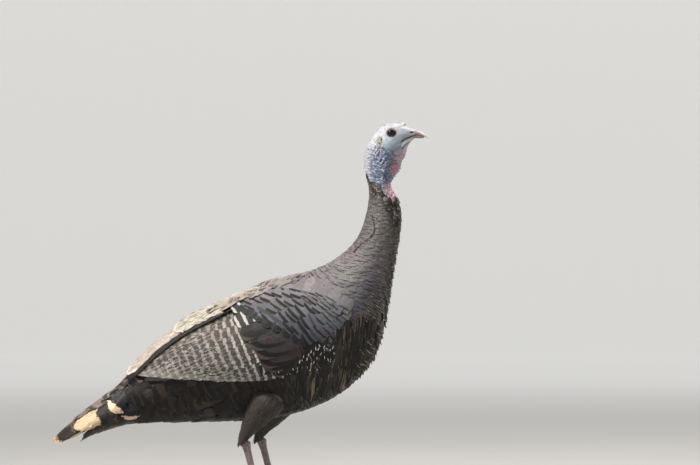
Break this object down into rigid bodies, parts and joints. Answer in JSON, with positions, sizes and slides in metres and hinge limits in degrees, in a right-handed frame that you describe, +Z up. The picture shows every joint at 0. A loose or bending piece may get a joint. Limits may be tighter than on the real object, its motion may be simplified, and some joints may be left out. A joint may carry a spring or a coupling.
{
  "type": "wild turkey",
  "caption": "Wild turkey hen standing alert, life size, neck upright, bare wrinkled head, wings folded on the back and tail closed.",
  "frame": {"origin": "on the floor, under the middle of the bird's outline", "axes": "+X ahead, the way the bird faces; +Y to the bird's left; +Z up"},
  "size_m": [0.6756, 0.2012, 0.7071],
  "materials": {
    "feathers": "soft feathers, brown and grey with dark bars",
    "flight_feathers": "smooth feathers, brown with pale bars",
    "tail_feathers": "smooth feathers, brown with a dark band and a buff tip",
    "bare_skin": "wrinkled bare skin, pale blue-grey and pink",
    "snood": "bare skin",
    "horn": "satin horn",
    "eye": "wet and glossy",
    "legs": "scaled skin",
    "claws": "satin horn"
  },
  "bodies": {
    "root": {"bill_lower": "horn", "bill_upper": "horn", "claw_left_hind": "claws", "claw_left_inner": "claws", "claw_left_middle": "claws", "claw_left_outer": "claws", "claw_right_hind": "claws", "claw_right_inner": "claws", "claw_right_middle": "claws", "claw_right_outer": "claws", "eye_left": "eye", "eye_right": "eye", "foot_left": "legs", "foot_right": "legs", "head": "bare_skin", "neck_lower": "feathers", "neck_upper": "bare_skin", "shank_left": "legs", "shank_right": "legs", "snood": "snood", "tail": "tail_feathers", "tail_coverts": "feathers", "thigh_left": "feathers", "thigh_right": "feathers", "toe_left_hind": "legs", "toe_left_inner": "legs", "toe_left_middle": "legs", "toe_left_outer": "legs", "toe_right_hind": "legs", "toe_right_inner": "legs", "toe_right_middle": "legs", "toe_right_outer": "legs", "trunk": "feathers", "wing_coverts_left": "feathers", "wing_coverts_right": "feathers", "wing_flight_left": "flight_feathers", "wing_flight_right": "flight_feathers"}
  },
  "joints": []
}
